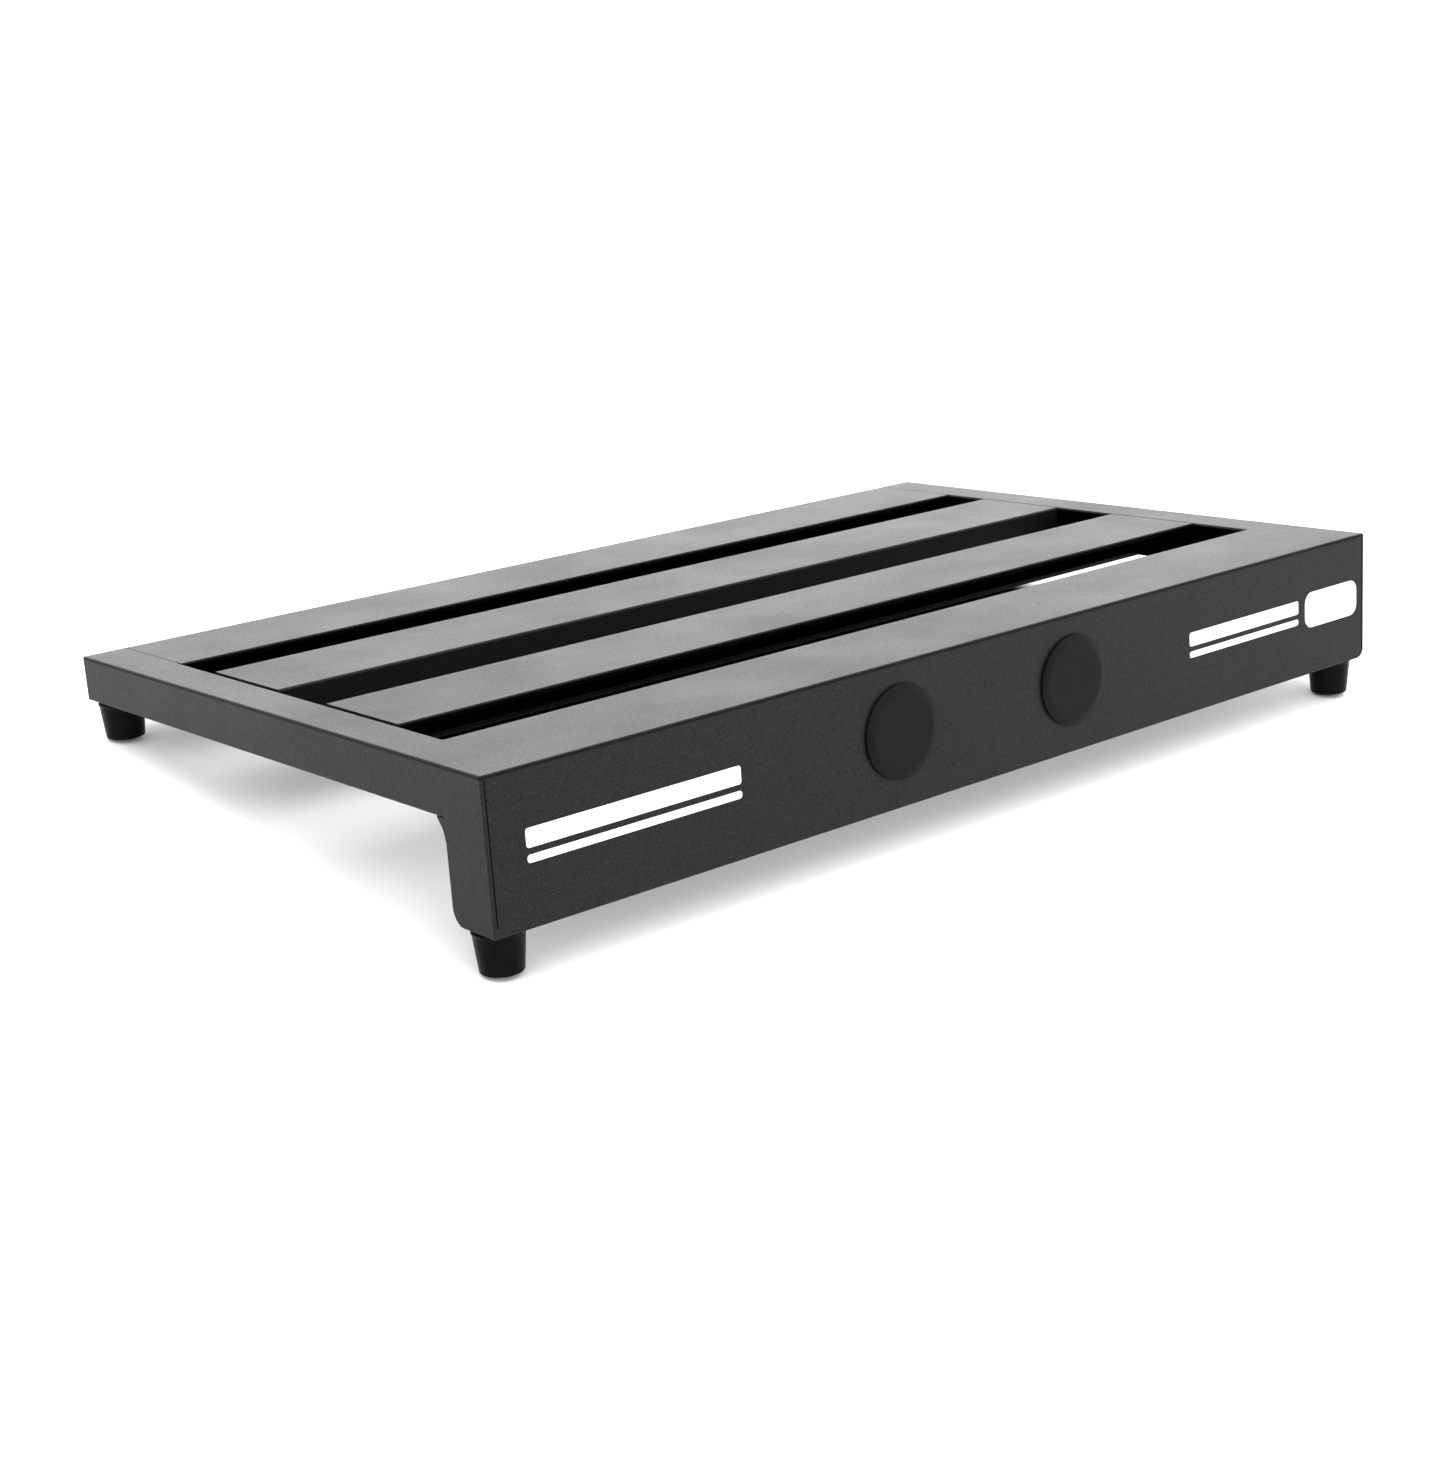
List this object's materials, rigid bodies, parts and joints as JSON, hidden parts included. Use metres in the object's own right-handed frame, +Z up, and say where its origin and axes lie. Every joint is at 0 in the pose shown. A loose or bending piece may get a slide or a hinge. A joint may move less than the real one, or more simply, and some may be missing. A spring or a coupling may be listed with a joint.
{
  "type": "pedalboard",
  "caption": "Sloped frame for effects pedals: flat slats between square side rails, a deep rear beam with plugged cable holes, and rubber feet.",
  "frame": {"origin": "centre of the bounding box, on the floor the board stands on", "axes": "+X along the board's width, +Y from its low front edge to its high rear edge, +Z up; the slats slope up to the rear"},
  "size_m": [0.5, 0.309, 0.0777],
  "materials": {
    "powder_coat": "fine textured black powder coat on aluminium",
    "foot_rubber": "matt moulded rubber",
    "plug_plastic": "satin moulded plastic",
    "zinc_steel": "zinc plated",
    "insert_steel": "blackened steel"
  },
  "bodies": {
    "board": {"rear_beam": "powder_coat", "side_rail_left": "powder_coat", "side_rail_right": "powder_coat", "rail_end_cap_left": "powder_coat", "rail_end_cap_right": "powder_coat", "beam_end_plate_left": "powder_coat", "beam_end_plate_right": "powder_coat", "front_slat": "powder_coat", "middle_slat_front": "powder_coat", "middle_slat_rear": "powder_coat", "weld_beads": "powder_coat", "foot_front_left": "foot_rubber", "foot_washer_front_left": "zinc_steel", "foot_screw_front_left": "zinc_steel", "insert_front_left": "insert_steel", "foot_front_right": "foot_rubber", "foot_washer_front_right": "zinc_steel", "foot_screw_front_right": "zinc_steel", "insert_front_right": "insert_steel", "foot_rear_left": "foot_rubber", "foot_washer_rear_left": "zinc_steel", "foot_screw_rear_left": "zinc_steel", "insert_rear_left": "insert_steel", "foot_rear_right": "foot_rubber", "foot_washer_rear_right": "zinc_steel", "foot_screw_rear_right": "zinc_steel", "insert_rear_right": "insert_steel"},
    "plug_left": {"cable_plug_left": "plug_plastic"},
    "plug_right": {"cable_plug_right": "plug_plastic"}
  },
  "joints": [
    {"name": "plug_left_pull", "type": "slide", "parent": "board", "child": "plug_left", "axis": [0, 0.9901, 0.1407], "range_m": [0, 0.015]},
    {"name": "plug_right_pull", "type": "slide", "parent": "board", "child": "plug_right", "axis": [0, 0.9901, 0.1407], "range_m": [0, 0.015]}
  ]
}
